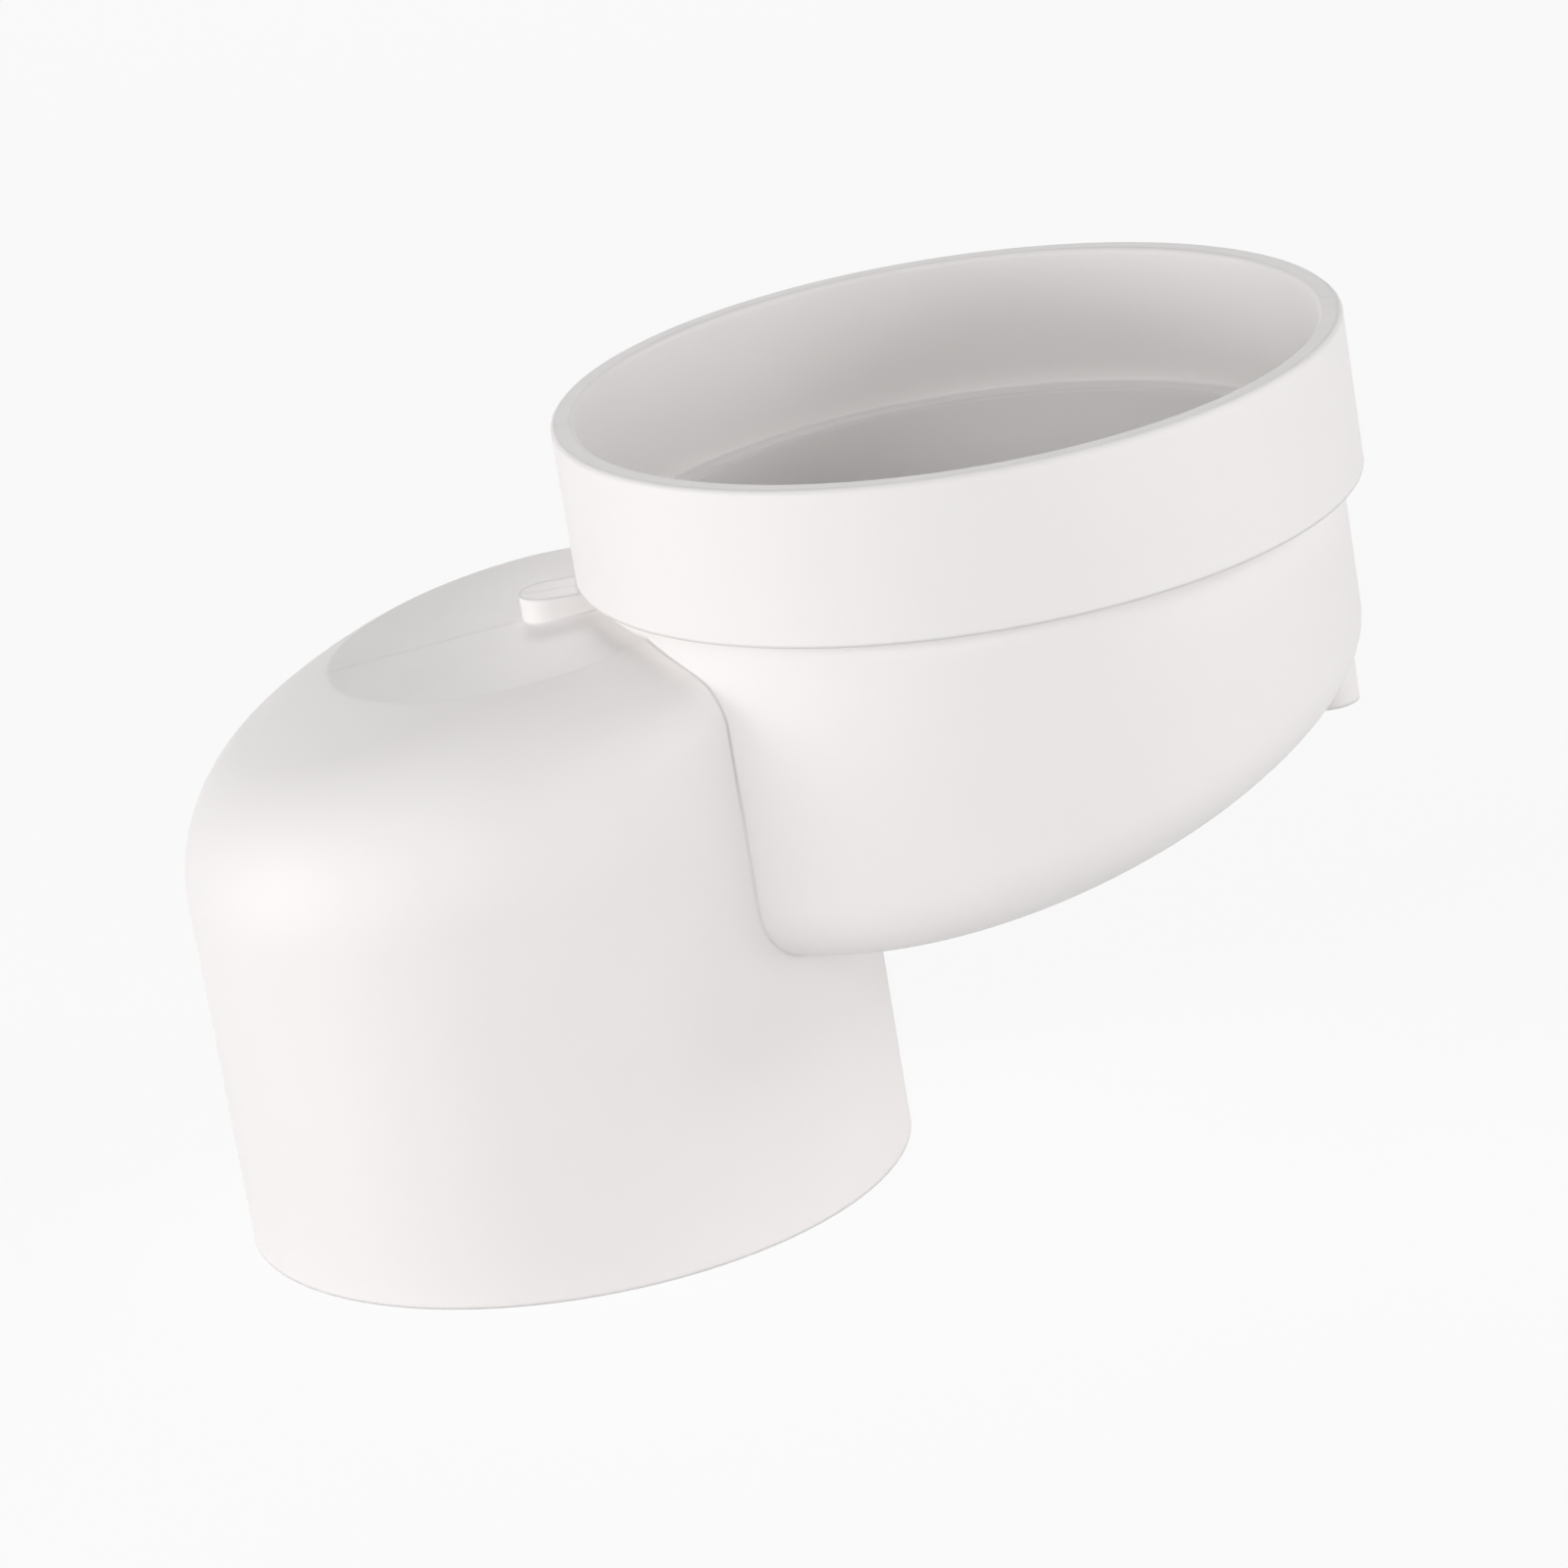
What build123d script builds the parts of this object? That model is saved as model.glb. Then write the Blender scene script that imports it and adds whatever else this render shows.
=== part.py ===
from build123d import *
import os

os.makedirs("parts", exist_ok=True)

# Offset toilet flange, one moulded piece, sizes in mm and angles in degrees.
# The origin is the centre of the outlet spigot's foot, +Z is up and +X points from the
# spigot's axis to the inlet collar's axis. Depths are measured down from the rim.

# Main sizes
wall = 3.8
spigot_od = 110.0
collar_od = 128.0
axis_offset = 80.0
height = 126.6

# Inlet collar: a band that stands proud of the bowl, with a ledge for the seal inside
band_height = 25.6
band_step = 3.7
ledge_rise = 2.4
edge_break = 0.6

# Bowl under the collar: its floor is an arc that falls towards the spigot
floor_near_depth = 85.8
floor_depth = 76.2
floor_far_depth = 56.4
floor_overrun = 1.7
bowl_edge_round = 11.0

# Outlet spigot: a straight foot that a pipe slides over, and a slight flare above it
spigot_length = 38.0
elbow_flare = 0.5

# Spigot's top: a ball-shaped elbow, blended into the tube, with a sloping roof cut across it
elbow_ahead = 17.2
elbow_depth = 125.8
elbow_bulge = 46.3
elbow_blend = 30.0
roof_depth = 31.7
roof_slope = 5.6

# Moulding stubs: one stands on the roof beside the collar, one hangs under the far bend
stub_r = 5.0
stub_root = 9.0
roof_stub_reach = 9.6
roof_stub_drop = 1.1
floor_stub_inset = 7.1
floor_stub_drop = 10.8

# Sizes worked out from those above
spigot_r = spigot_od / 2
collar_r = collar_od / 2
bowl_r = collar_r - band_step
socket_r = collar_r - wall
step_z = height - band_height
ledge_z = step_z + ledge_rise
elbow_r = spigot_r + elbow_bulge
elbow_z = height - elbow_depth
floor_reach = bowl_r + floor_overrun
near_x = axis_offset - floor_reach
far_x = axis_offset + floor_reach
fall = [
    (near_x, height - floor_near_depth),
    (axis_offset, height - floor_depth),
    (far_x, height - floor_far_depth),
]
span = 3 * collar_od
side = Plane.XZ.offset(-span / 2)
roof = Plane.XY.offset(height - roof_depth).rotated((0, -roof_slope, 0))

# Bowl's outside: a cylinder with its foot cut to the arc of the floor, edge rounded
with BuildPart() as bowl_form:
    with BuildSketch() as bowl_plan:
        with Locations((axis_offset, 0)):
            Circle(bowl_r)
    extrude(amount=ledge_z)
    with BuildSketch(side) as below_floor:
        with BuildLine() as floor_line:
            ThreePointArc(*fall)
            Polyline(fall[2], (far_x, -span), (near_x, -span), fall[0])
        make_face()
    extrude(amount=span, mode=Mode.SUBTRACT)
    fillet(bowl_form.faces().sort_by(Axis.Z)[0].edges(), bowl_edge_round)

# Spigot's outside: a flared tube closed by the ball, blended and cut by the roof, on its foot
with BuildPart() as spigot_form:
    with BuildSketch(Plane.XY.offset(spigot_length)) as elbow_plan:
        Circle(spigot_r)
    extrude(amount=span, taper=-elbow_flare)
    with Locations((elbow_ahead, 0, elbow_z)):
        Sphere(elbow_r, mode=Mode.INTERSECT)
    fillet(spigot_form.faces().sort_by(Axis.Z)[-1].edges(), elbow_blend)
    split(bisect_by=roof, keep=Keep.BOTTOM)
    with BuildSketch() as foot_plan:
        Circle(spigot_r)
    extrude(amount=spigot_length)

# Bowl's hollow: the same cylinder and floor, one wall smaller, its edge a flat that
# touches a round one wall inside the outer one, at a corner of about 90 degrees
with BuildPart() as bowl_hollow:
    with BuildSketch() as hollow_plan:
        with Locations((axis_offset, 0)):
            Circle(bowl_r - wall)
    extrude(amount=height)
    with BuildSketch(side) as above_floor:
        with BuildLine() as inner_line:
            raised = [(x, z + wall) for x, z in fall]
            ThreePointArc(*raised)
            Polyline(raised[2], (far_x, -span), (near_x, -span), raised[0])
        make_face()
    extrude(amount=span, mode=Mode.SUBTRACT)
    bowl_flat = 0.59 * (bowl_edge_round - wall)
    chamfer(bowl_hollow.faces().sort_by(Axis.Z)[0].edges(), bowl_flat)

# Spigot's hollow: a bore under the ball and the roof, one wall smaller, its edge a flat
# made in the same way, at a corner of about 125 degrees
with BuildPart() as spigot_hollow:
    with BuildSketch() as bore_plan:
        Circle(spigot_r - wall)
    extrude(amount=span)
    with Locations((elbow_ahead, 0, elbow_z)):
        Sphere(elbow_r - wall, mode=Mode.INTERSECT)
    elbow_flat = 0.28 * (elbow_blend - wall)
    chamfer(spigot_hollow.faces().sort_by(Axis.Z)[-1].edges(), elbow_flat)
    split(bisect_by=roof.offset(-wall), keep=Keep.BOTTOM)

# Moulding stubs, rooted deeper than the wall so that the passage trims them; the one on
# the roof runs back under the band and fills up to it there
with BuildPart() as stubs:
    with BuildSketch(Plane.XY.offset(fall[2][1] - floor_stub_drop)) as floor_stub_plan:
        with Locations((axis_offset + bowl_r - floor_stub_inset, 0)):
            Circle(stub_r)
    extrude(amount=2 * stub_root)
    with BuildSketch(Plane.XY.offset(step_z - roof_stub_drop)) as roof_stub_plan:
        with Locations((axis_offset - collar_r - roof_stub_reach + stub_r, 0)):
            Circle(stub_r)
            Rectangle(roof_stub_reach + band_step, 2 * stub_r, align=(Align.MIN, Align.CENTER))
    extrude(amount=-stub_root)
    with BuildSketch(Plane.XY.offset(step_z)) as under_band_plan:
        add(roof_stub_plan.sketch_local)
        with Locations((axis_offset, 0)):
            Circle(collar_r, mode=Mode.INTERSECT)
    extrude(amount=-roof_stub_drop)

# The whole flange: outside forms joined under the band, then the passage cut out
with BuildPart() as flange_body:
    add(bowl_form.part)
    add(spigot_form.part)
    with BuildSketch(Plane.XY.offset(step_z)) as band_plan:
        with Locations((axis_offset, 0)):
            Circle(collar_r)
    extrude(amount=band_height)
    add(stubs.part)
    add(bowl_hollow.part, mode=Mode.SUBTRACT)
    add(spigot_hollow.part, mode=Mode.SUBTRACT)
    with BuildSketch(Plane.XY.offset(ledge_z)) as socket_plan:
        with Locations((axis_offset, 0)):
            Circle(socket_r)
    extrude(amount=height - ledge_z, mode=Mode.SUBTRACT)
    chamfer(flange_body.faces().sort_by(Axis.Z)[-1].edges(), edge_break)
flange_body.part.label = "flange body"
export_step(flange_body.part, "parts/flange_body.step")
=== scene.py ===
import math

import bmesh
import bpy
import numpy as np
from mathutils import Matrix, Vector


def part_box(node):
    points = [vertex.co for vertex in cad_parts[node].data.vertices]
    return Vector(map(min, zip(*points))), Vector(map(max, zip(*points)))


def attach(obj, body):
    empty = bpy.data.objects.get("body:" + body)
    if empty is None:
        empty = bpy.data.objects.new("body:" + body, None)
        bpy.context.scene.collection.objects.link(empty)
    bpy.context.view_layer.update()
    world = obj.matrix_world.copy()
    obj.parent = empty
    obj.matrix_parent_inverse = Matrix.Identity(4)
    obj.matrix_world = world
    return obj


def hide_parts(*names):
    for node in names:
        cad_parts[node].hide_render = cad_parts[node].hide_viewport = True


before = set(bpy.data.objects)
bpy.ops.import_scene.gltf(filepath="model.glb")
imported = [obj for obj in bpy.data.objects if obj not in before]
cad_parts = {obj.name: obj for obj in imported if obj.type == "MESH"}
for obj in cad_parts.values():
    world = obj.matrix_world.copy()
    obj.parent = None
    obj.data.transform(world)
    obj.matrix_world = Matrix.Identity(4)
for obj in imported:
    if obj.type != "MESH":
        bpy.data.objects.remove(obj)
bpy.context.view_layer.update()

# Flange body
# One hollow moulding: inlet collar, bowl, ball-shaped elbow and outlet spigot in one piece.
# Rigid white PVC, injected into a steel mould that parts along the middle of the spigot's
# side, so the skin is satin, faintly clouded, and carries a hair-thin raised parting line.
mm = 0.001
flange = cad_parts["flange_body"]
flange_low, flange_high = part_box("flange_body")

# The shoulder, in millimetres: a round joins the elbow's tube to its ball, wide at the back and
# tight beside the bowl. The solid has the wide one all the way, and the shell fills it out there.
tube_r = 55.27
ball_r = 101.3
ball_ahead = 17.2
ball_height = 0.8
wide_round = 30.0
tight_round = 5.0
fill_from, fill_to = math.radians(88), math.radians(49)
roof_height = 94.9
roof_rise = math.tan(math.radians(5.6))
roof_fade = 2.4
bowl_ahead = 80.0
bowl_r = 60.3
tucked_in = 0.15
close = 0.06
search_turn = 0.4
narrowings = 40


def unit(vectors):
    """Each row of an array, brought to length 1."""
    return vectors / np.linalg.norm(vectors, axis=1)[:, None]


def smooth_step(value):
    """0 below 0, 1 above 1, with a smooth rise between."""
    value = np.clip(value, 0, 1)
    return value * value * (3 - 2 * value)


def round_middle(turn):
    """The wide round's middle at an angle about the tube's axis."""
    x = (tube_r - wide_round) * np.cos(turn)
    y = (tube_r - wide_round) * np.sin(turn)
    z = ball_height + np.sqrt((ball_r - wide_round) ** 2 - (x - ball_ahead) ** 2 - y**2)
    return np.stack([x, y, z], axis=1)


def nearest_middle(points):
    """The wide round's middle that lies nearest to each point, found by narrowing the angle."""
    turn = np.arctan2(points[:, 1], points[:, 0])
    first, last = turn - search_turn, turn + search_turn
    for _ in range(narrowings):
        third = (last - first) / 3
        to_first = np.linalg.norm(points - round_middle(first + third), axis=1)
        to_last = np.linalg.norm(points - round_middle(last - third), axis=1)
        first = np.where(to_first > to_last, first + third, first)
        last = np.where(to_first > to_last, last, last - third)
    return round_middle((first + last) / 2)


def past_corner(points):
    """Distance outside tube and ball, with their corner eased by the tight round."""
    past_tube = np.hypot(points[:, 0], points[:, 1]) - tube_r
    past_ball = np.linalg.norm(points - [ball_ahead, 0, ball_height], axis=1) - ball_r
    eased = np.hypot(np.maximum(past_tube + tight_round, 0), np.maximum(past_ball + tight_round, 0))
    return np.minimum(np.maximum(past_tube, past_ball), -tight_round) + eased


def filled_out(points):
    """Points of the wide round moved out to the tight one: fully by the bowl, not at the back."""
    middle = nearest_middle(points)
    reach = np.linalg.norm(points - middle, axis=1)
    ray = unit(points - middle)
    inner, outer = 0.5 * reach, 2.0 * reach
    for _ in range(narrowings):
        tried = (inner + outer) / 2
        inside = past_corner(middle + ray * tried[:, None]) < 0
        inner = np.where(inside, tried, inner)
        outer = np.where(inside, outer, tried)
    turn = np.abs(np.arctan2(points[:, 1], points[:, 0]))
    below_roof = roof_height + roof_rise * points[:, 0] - points[:, 2]
    beside_bowl = smooth_step((fill_from - turn) / (fill_from - fill_to))
    share = beside_bowl * (1 - np.exp(-below_roof / roof_fade))
    return points + ray * (share * (inner - reach))[:, None]


def at_bowl(edge):
    """Whether an edge is part of a border that lies on the bowl's wall."""
    off_wall = [math.hypot(v.co.x / mm - bowl_ahead, v.co.y / mm) - bowl_r for v in edge.verts]
    return edge.is_boundary and max(abs(off) for off in off_wall) < close


def in_order(items):
    """The items without repeats, as they come, so that each run makes the same mesh."""
    return list(dict.fromkeys(items))


def ends(edge):
    """An edge's two ends as numbers that can be compared."""
    return frozenset(tuple(round(c / mm, 3) for c in v.co) for v in edge.verts)


# The shell starts as a copy of the solid's mesh and keeps its normals
shell_mesh = flange.data.copy()
shell_mesh.name = "flange_shell"
corner_normals = np.zeros(3 * len(shell_mesh.loops), np.float32)
shell_mesh.corner_normals.foreach_get("vector", corner_normals)
kept = shell_mesh.attributes.new("kept_normal", "FLOAT_VECTOR", "CORNER")
kept.data.foreach_set("vector", corner_normals)
bm = bmesh.new()
bm.from_mesh(shell_mesh)
kept_normal = bm.loops.layers.float_vector["kept_normal"]

# The shoulder's faces are those on the wide round that look straight away from its middle
same_way = 0.985
filled = bm.faces.layers.int.new("filled")
places = np.array([f.calc_center_median() for f in bm.faces]) / mm
looks = np.array([f.normal for f in bm.faces])
from_middle = places - nearest_middle(places)
off_round = np.abs(np.linalg.norm(from_middle, axis=1) - wide_round)
straight = np.sum(unit(from_middle) * looks, axis=1) > same_way
beside = np.abs(np.arctan2(places[:, 1], places[:, 0])) < fill_from
above = from_middle[:, 2] > -close
for face, chosen in zip(bm.faces, (off_round < 2 * close) & straight & beside & above):
    face[filled] = int(chosen)


def within(edge):
    """Whether an edge lies inside the shoulder, with shoulder faces on both sides."""
    return not edge.is_boundary and all(f[filled] for f in edge.link_faces)


# They are cut finer, with the bowl's side of the border, so that both sides still meet
finer_cuts = 2
shoulder_edges = in_order(e for f in bm.faces if f[filled] for e in f.edges)
inner_edges = [e for e in shoulder_edges if within(e)]
border = [e for e in shoulder_edges if at_bowl(e)]
border_ends = {ends(e) for e in border}
bowl_side = [e for e in bm.edges if at_bowl(e) and e not in border and ends(e) in border_ends]
cut_edges = inner_edges + border + bowl_side
bmesh.ops.subdivide_edges(bm, edges=cut_edges, cuts=finer_cuts, use_grid_fill=True)
bmesh.ops.triangulate(bm, faces=[f for f in bm.faces if len(f.verts) > 3])

# They move out, apart from those that meet the tube and the roof, and take the new normals
shoulder = in_order(v for f in bm.faces if f[filled] for v in f.verts)
shoulder_edges = in_order(e for f in bm.faces if f[filled] for e in f.edges)
border = [e for e in shoulder_edges if at_bowl(e)]
fixed = {v for e in shoulder_edges if not within(e) and not at_bowl(e) for v in e.verts}
old_line = {v: v.co.copy() for e in border for v in e.verts}
before = np.array([v.co for v in shoulder]) / mm
after = filled_out(before)
out = unit(before - nearest_middle(before))
along = unit(np.cross(out, [0.0, 0.0, 1.0]))
across = np.cross(out, along)
nudge = 0.02
run_along = filled_out(before + nudge * along) - filled_out(before - nudge * along)
run_across = filled_out(before + nudge * across) - filled_out(before - nudge * across)
new_normal = {v: Vector(n) for v, n in zip(shoulder, unit(np.cross(run_along, run_across)))}
for vertex, spot in zip(shoulder, after):
    if vertex in fixed:
        continue
    if vertex in old_line:
        off_axis = spot[:2] - [bowl_ahead, 0]
        spot[:2] = [bowl_ahead, 0] + off_axis * (bowl_r - tucked_in) / np.linalg.norm(off_axis)
    vertex.co = Vector(spot) * mm
for face in bm.faces:
    face.smooth = True
    if face[filled]:
        for loop in face.loops:
            loop[kept_normal] = new_normal[loop.vert]

# A seam inside the wall joins the border's old line to its new one, so the shell stays closed
merge_within = 0.0005 * mm
old_vertex = {v: bm.verts.new(co) for v, co in old_line.items()}
for edge in border:
    start = edge.link_loops[0].vert
    stop = edge.other_vert(start)
    seam = bm.faces.new((stop, start, old_vertex[start], old_vertex[stop]))
    seam.smooth = True
    for loop in seam.loops:
        off_axis = loop.vert.co - Vector((bowl_ahead * mm, 0, loop.vert.co.z))
        loop[kept_normal] = off_axis.normalized()
for edge in bm.edges:
    edge.smooth = True
bmesh.ops.remove_doubles(bm, verts=bm.verts, dist=merge_within)
bmesh.ops.triangulate(bm, faces=[f for f in bm.faces if len(f.verts) > 3])
bm.to_mesh(shell_mesh)
bm.free()
corner_normals = np.zeros(3 * len(shell_mesh.loops), np.float32)
shell_mesh.attributes["kept_normal"].data.foreach_get("vector", corner_normals)
shell_mesh.attributes.remove(shell_mesh.attributes["kept_normal"])
shell_mesh.attributes.remove(shell_mesh.attributes["filled"])
shell_mesh.normals_split_custom_set(corner_normals.reshape(-1, 3))
shell = bpy.data.objects.new("flange_shell", shell_mesh)
bpy.context.scene.collection.objects.link(shell)
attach(shell, "root")
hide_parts("flange_body")


def linear(hex_colour):
    """An sRGB hex colour as the linear RGBA that shaders take."""
    parts = [int(hex_colour[i : i + 2], 16) / 255 for i in (1, 3, 5)]
    return [c / 12.92 if c <= 0.04045 else ((c + 0.055) / 1.055) ** 2.4 for c in parts] + [1.0]


def add_node(tree, kind, settings=None, inputs=None):
    """Adds one node: settings are its properties, inputs are socket values or links."""
    made = tree.nodes.new(kind)
    for name, value in (settings or {}).items():
        setattr(made, name, value)
    for name, value in (inputs or {}).items():
        if isinstance(value, bpy.types.NodeSocket):
            tree.links.new(value, made.inputs[name])
        else:
            made.inputs[name].default_value = value
    return made


# Injection-moulded rigid PVC: opaque warm white, faintly clouded over a few centimetres by
# the flow of the melt, with a rare dark speck no larger than a grain of sand.
pvc = bpy.data.materials.new("injection_moulded_white_pvc")
pvc.use_nodes = True
tree = pvc.node_tree
tree.nodes.clear()
place = add_node(tree, "ShaderNodeTexCoord").outputs

cloud_size = 42 * mm
clouds = add_node(
    tree,
    "ShaderNodeTexNoise",
    inputs={"Vector": place["Object"], "Scale": 1 / cloud_size, "Detail": 3.0, "Roughness": 0.45},
)
cloud_tone = add_node(
    tree,
    "ShaderNodeMix",
    settings={"data_type": "RGBA"},
    inputs={0: clouds.outputs["Fac"], 6: linear("#EDEAE9"), 7: linear("#F1EEED")},
)
speck_spacing = 16 * mm
speck_radius = 0.2 * mm
speck_cells = add_node(
    tree, "ShaderNodeTexVoronoi", inputs={"Vector": place["Object"], "Scale": 1 / speck_spacing}
)
speck = add_node(
    tree,
    "ShaderNodeMath",
    settings={"operation": "LESS_THAN"},
    inputs={0: speck_cells.outputs["Distance"], 1: speck_radius / speck_spacing},
)
skin_tone = add_node(
    tree,
    "ShaderNodeMix",
    settings={"data_type": "RGBA"},
    inputs={0: speck.outputs[0], 6: cloud_tone.outputs[2], 7: linear("#B3ABA0")},
)

# The skin: satin from the polished mould, a fine orange peel, edges eased by a millimetre
satin_from, satin_to = 0.52, 0.62
gloss_patch = 9 * mm
gloss_noise = add_node(
    tree,
    "ShaderNodeTexNoise",
    inputs={"Vector": place["Object"], "Scale": 1 / gloss_patch, "Detail": 4.0},
)
satin = add_node(
    tree,
    "ShaderNodeMapRange",
    inputs={"Value": gloss_noise.outputs["Fac"], "To Min": satin_from, "To Max": satin_to},
)
edge_round = 1.1 * mm
eased_edges = add_node(tree, "ShaderNodeBevel", settings={"samples": 8}, inputs={"Radius": edge_round})
peel_size = 1.6 * mm
peel_height = 0.012 * mm
peel_noise = add_node(
    tree,
    "ShaderNodeTexNoise",
    inputs={"Vector": place["Object"], "Scale": 1 / peel_size, "Detail": 2.0},
)
peel = add_node(
    tree,
    "ShaderNodeBump",
    inputs={
        "Height": peel_noise.outputs["Fac"],
        "Distance": peel_height,
        "Strength": 0.5,
        "Normal": eased_edges.outputs["Normal"],
    },
)

# The parting line: a ridge on the middle plane, only on faces that look away from the spigot
parting_width = 0.5 * mm
parting_height = 0.12 * mm
spigot_heart = (0.0, 0.0, 60 * mm)
middle_plane = add_node(tree, "ShaderNodeSeparateXYZ", inputs={0: place["Object"]})
off_middle = add_node(
    tree, "ShaderNodeMath", settings={"operation": "ABSOLUTE"}, inputs={0: middle_plane.outputs["Y"]}
)
ridge = add_node(
    tree,
    "ShaderNodeMapRange",
    settings={"interpolation_type": "SMOOTHSTEP"},
    inputs={
        "Value": off_middle.outputs[0],
        "From Min": 0.0,
        "From Max": parting_width,
        "To Min": 1.0,
        "To Max": 0.0,
    },
)
from_heart = add_node(
    tree,
    "ShaderNodeVectorMath",
    settings={"operation": "SUBTRACT"},
    inputs={0: place["Object"], 1: spigot_heart},
)
facing_out = add_node(
    tree,
    "ShaderNodeVectorMath",
    settings={"operation": "DOT_PRODUCT"},
    inputs={0: from_heart.outputs["Vector"], 1: place["Normal"]},
)
outward = add_node(
    tree,
    "ShaderNodeMath",
    settings={"operation": "GREATER_THAN"},
    inputs={0: facing_out.outputs["Value"], 1: 0.0},
)
outer_ridge = add_node(
    tree,
    "ShaderNodeMath",
    settings={"operation": "MULTIPLY"},
    inputs={0: ridge.outputs["Result"], 1: outward.outputs[0]},
)
parting_line = add_node(
    tree,
    "ShaderNodeBump",
    inputs={
        "Height": outer_ridge.outputs[0],
        "Distance": parting_height,
        "Strength": 0.8,
        "Normal": peel.outputs["Normal"],
    },
)

rigid_pvc_ior = 1.53
skin = add_node(
    tree,
    "ShaderNodeBsdfPrincipled",
    inputs={
        "Base Color": skin_tone.outputs[2],
        "Roughness": satin.outputs["Result"],
        "IOR": rigid_pvc_ior,
        "Normal": parting_line.outputs["Normal"],
    },
)
add_node(tree, "ShaderNodeOutputMaterial", inputs={"Surface": skin.outputs["BSDF"]})
shell_mesh.materials.clear()
shell_mesh.materials.append(pvc)

# Studio floor
# A wide sheet of matt white background paper that the spigot's foot stands on.
# It shows plain white to the eye and still takes the flange's soft shadow.
floor_half = 4.0
floor_gap = 0.1 * mm
floor_mesh = bpy.data.meshes.new("floor")
floor_z = flange_low.z - floor_gap
floor_sides = ((-1, -1), (1, -1), (1, 1), (-1, 1))
floor_corners = [(x * floor_half, y * floor_half, floor_z) for x, y in floor_sides]
floor_mesh.from_pydata(floor_corners, [], [(0, 1, 2, 3)])
floor = bpy.data.objects.new("floor", floor_mesh)
bpy.context.scene.collection.objects.link(floor)


def seen_by_eye(tree):
    """A socket that is 1 for what the camera sees, directly, mirrored or through something."""
    path = add_node(tree, "ShaderNodeLightPath").outputs
    mirrored = add_node(
        tree,
        "ShaderNodeMath",
        settings={"operation": "MAXIMUM"},
        inputs={0: path["Is Camera Ray"], 1: path["Is Glossy Ray"]},
    )
    through = add_node(
        tree,
        "ShaderNodeMath",
        settings={"operation": "MAXIMUM"},
        inputs={0: mirrored.outputs[0], 1: path["Is Transmission Ray"]},
    )
    return through.outputs[0]


paper = bpy.data.materials.new("white_background_paper")
paper.use_nodes = True
tree = paper.node_tree
tree.nodes.clear()
shadow_share = 0.11
lit_paper = add_node(tree, "ShaderNodeBsdfDiffuse", inputs={"Color": linear("#EFEFEF")})
white_paper = add_node(tree, "ShaderNodeEmission", inputs={"Color": linear("#FFFFFF"), "Strength": 1.0})
shown_paper = add_node(
    tree,
    "ShaderNodeMixShader",
    inputs={0: shadow_share, 1: white_paper.outputs[0], 2: lit_paper.outputs[0]},
)
paper_mix = add_node(
    tree,
    "ShaderNodeMixShader",
    inputs={0: seen_by_eye(tree), 1: lit_paper.outputs[0], 2: shown_paper.outputs[0]},
)
add_node(tree, "ShaderNodeOutputMaterial", inputs={"Surface": paper_mix.outputs[0]})
floor.data.materials.append(paper)

# Studio light
# A dim white room and a ring of low softboxes, strongest on the left, weakest in front; the one
# behind skims over the spigot's roof. Each is turned to the middle of the part.
room_level = 0.14
part_middle = (flange_low + flange_high) / 2
softbox_distance = 1.6
low_box = (0.8, 0.4)
raised_box = (0.8, 0.5)
high_box = (0.9, 0.8)
softboxes = {
    "left": {"turn": -90, "up": 8, "size": low_box, "watts": 8.7},
    "left_quarter": {"turn": -60, "up": 8, "size": low_box, "watts": 3.5},
    "front_left": {"turn": -30, "up": 25, "size": raised_box, "watts": 4.0},
    "front": {"turn": 0, "up": 25, "size": raised_box, "watts": 2.6},
    "front_right": {"turn": 30, "up": 8, "size": low_box, "watts": 3.2},
    "right_quarter": {"turn": 60, "up": 8, "size": low_box, "watts": 4.7},
    "right": {"turn": 90, "up": 25, "size": raised_box, "watts": 6.8},
    "back": {"turn": 180, "up": 25, "size": raised_box, "watts": 3.9},
    "high_left": {"turn": -60, "up": 50, "size": high_box, "watts": 3.2},
}
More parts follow.
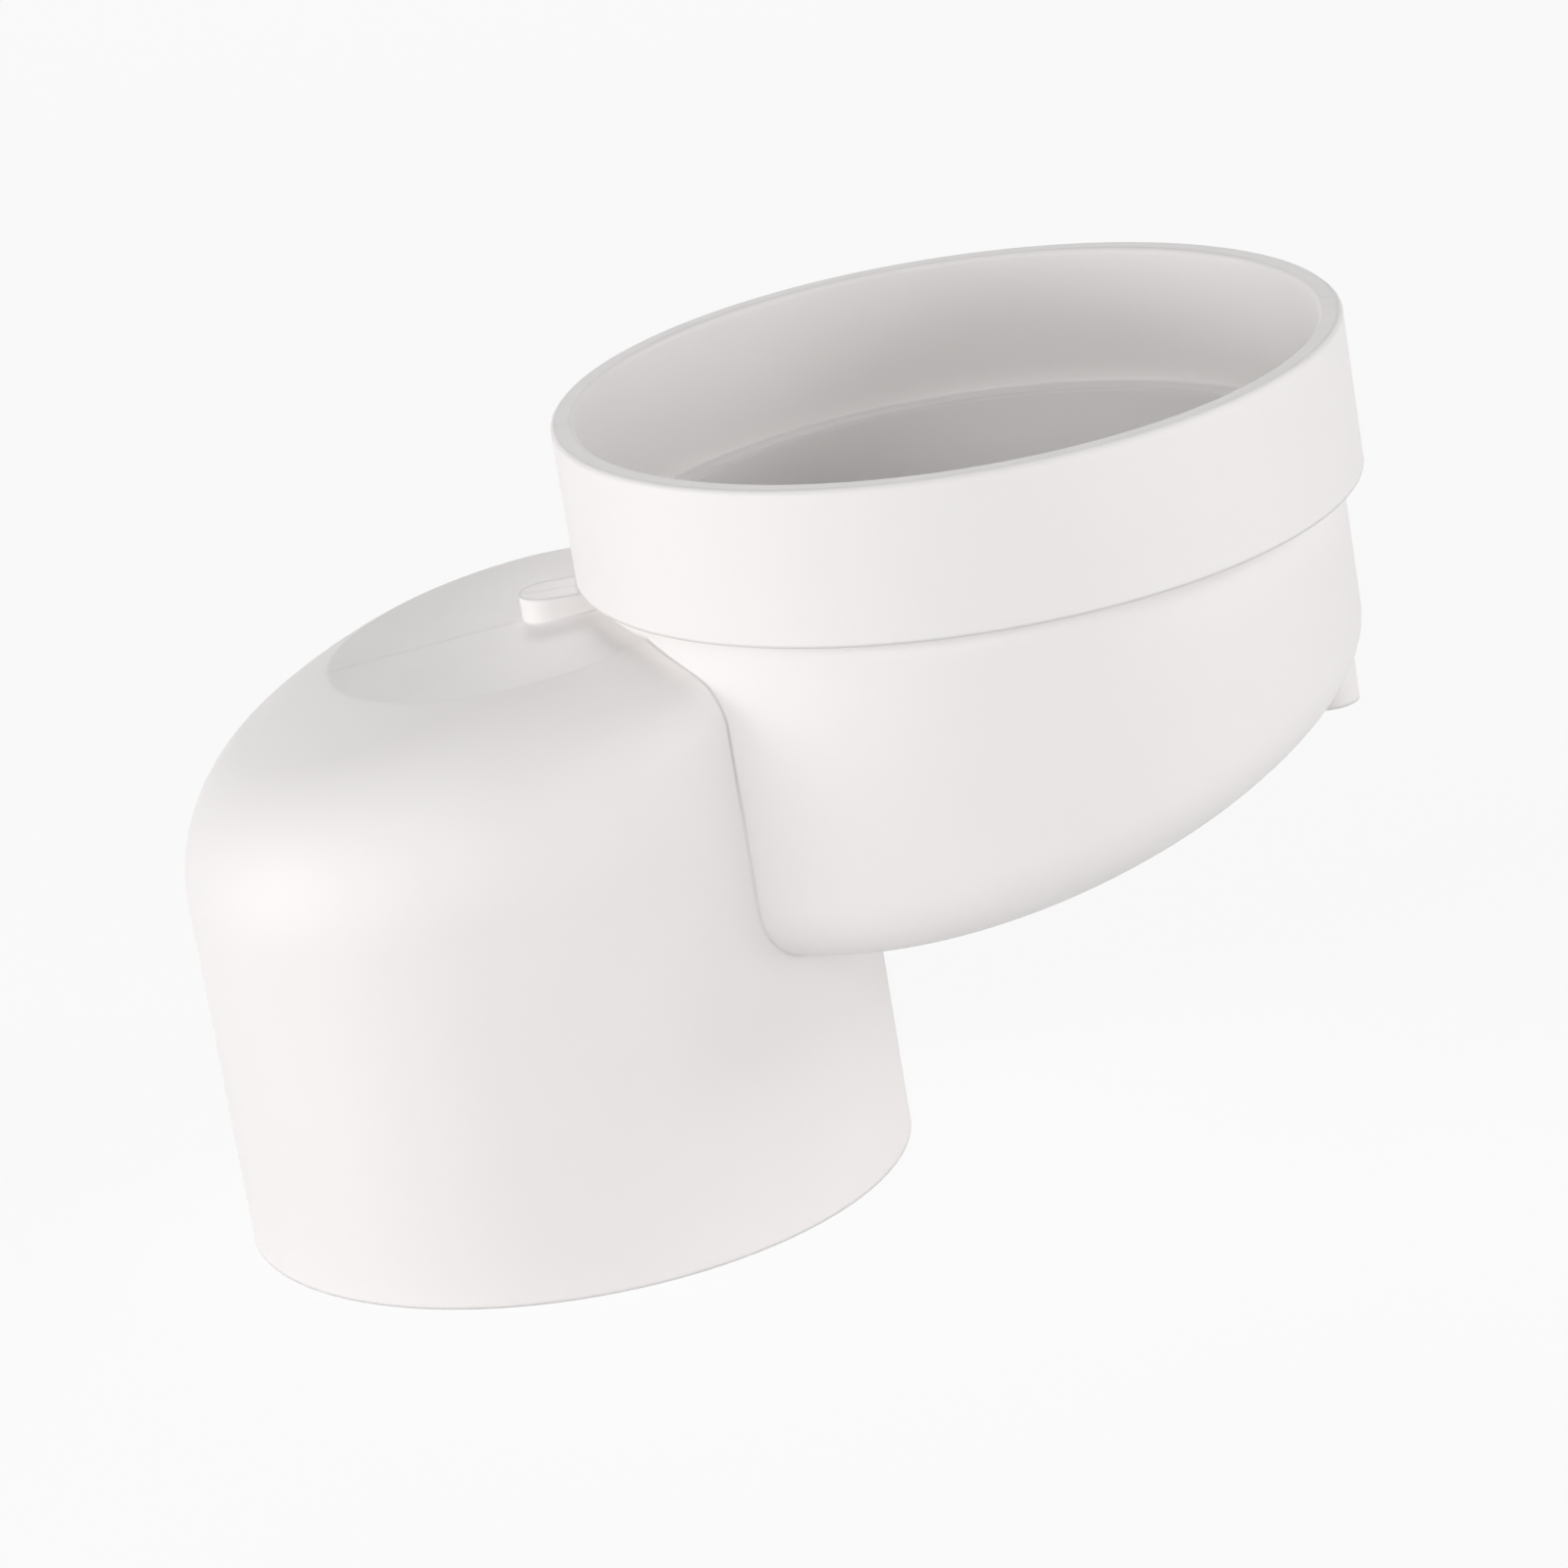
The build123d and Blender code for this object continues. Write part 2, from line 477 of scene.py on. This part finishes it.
for name, box in softboxes.items():
    lamp = bpy.data.lights.new("softbox_" + name, "AREA")
    lamp.shape = "RECTANGLE"
    lamp.size, lamp.size_y = box["size"]
    lamp.energy = box["watts"]
    softbox = bpy.data.objects.new("softbox_" + name, lamp)
    around = Matrix.Rotation(math.radians(box["turn"]), 3, "Z")
    upward = Matrix.Rotation(-math.radians(box["up"]), 3, "X")
    direction = around @ upward @ Vector((0, -1, 0))
    softbox.location = part_middle + direction * softbox_distance
    softbox.rotation_euler = direction.to_track_quat("Z", "Y").to_euler()
    bpy.context.scene.collection.objects.link(softbox)

room = bpy.data.worlds.new("white_room")
room.use_nodes = True
tree = room.node_tree
tree.nodes.clear()
room_light = add_node(
    tree, "ShaderNodeBackground", inputs={"Color": linear("#FFFFFF"), "Strength": room_level}
)
room_white = add_node(tree, "ShaderNodeBackground", inputs={"Color": linear("#FFFFFF"), "Strength": 1.0})
room_mix = add_node(
    tree,
    "ShaderNodeMixShader",
    inputs={0: seen_by_eye(tree), 1: room_light.outputs[0], 2: room_white.outputs[0]},
)
add_node(tree, "ShaderNodeOutputWorld", inputs={"Surface": room_mix.outputs[0]})
bpy.context.scene.world = room

# Camera
# A long lens in front of the part, looking down on it with the frame turned a little, so that
# the collar stands up at the right and the spigot leans to the left as in a catalogue picture.
camera_down = math.radians(18.719)
camera_turn = math.radians(-9.535)
camera_distance = 1237.737 * mm
camera_aim = Vector((43.5, -20.0, 67.5)) * mm
picture_px = 1600
focal_px = 7902.99
lens_data = bpy.data.cameras.new("camera")
lens_data.sensor_width = 36.0
lens_data.lens = lens_data.sensor_width * focal_px / picture_px
camera = bpy.data.objects.new("camera", lens_data)
facing = Matrix.Rotation(math.pi / 2 - camera_down, 4, "X") @ Matrix.Rotation(camera_turn, 4, "Z")
back = facing.to_3x3() @ Vector((0, 0, 1))
camera.matrix_world = Matrix.Translation(camera_aim + back * camera_distance) @ facing
bpy.context.scene.collection.objects.link(camera)
bpy.context.scene.camera = camera
bpy.context.scene.view_settings.view_transform = "Standard"
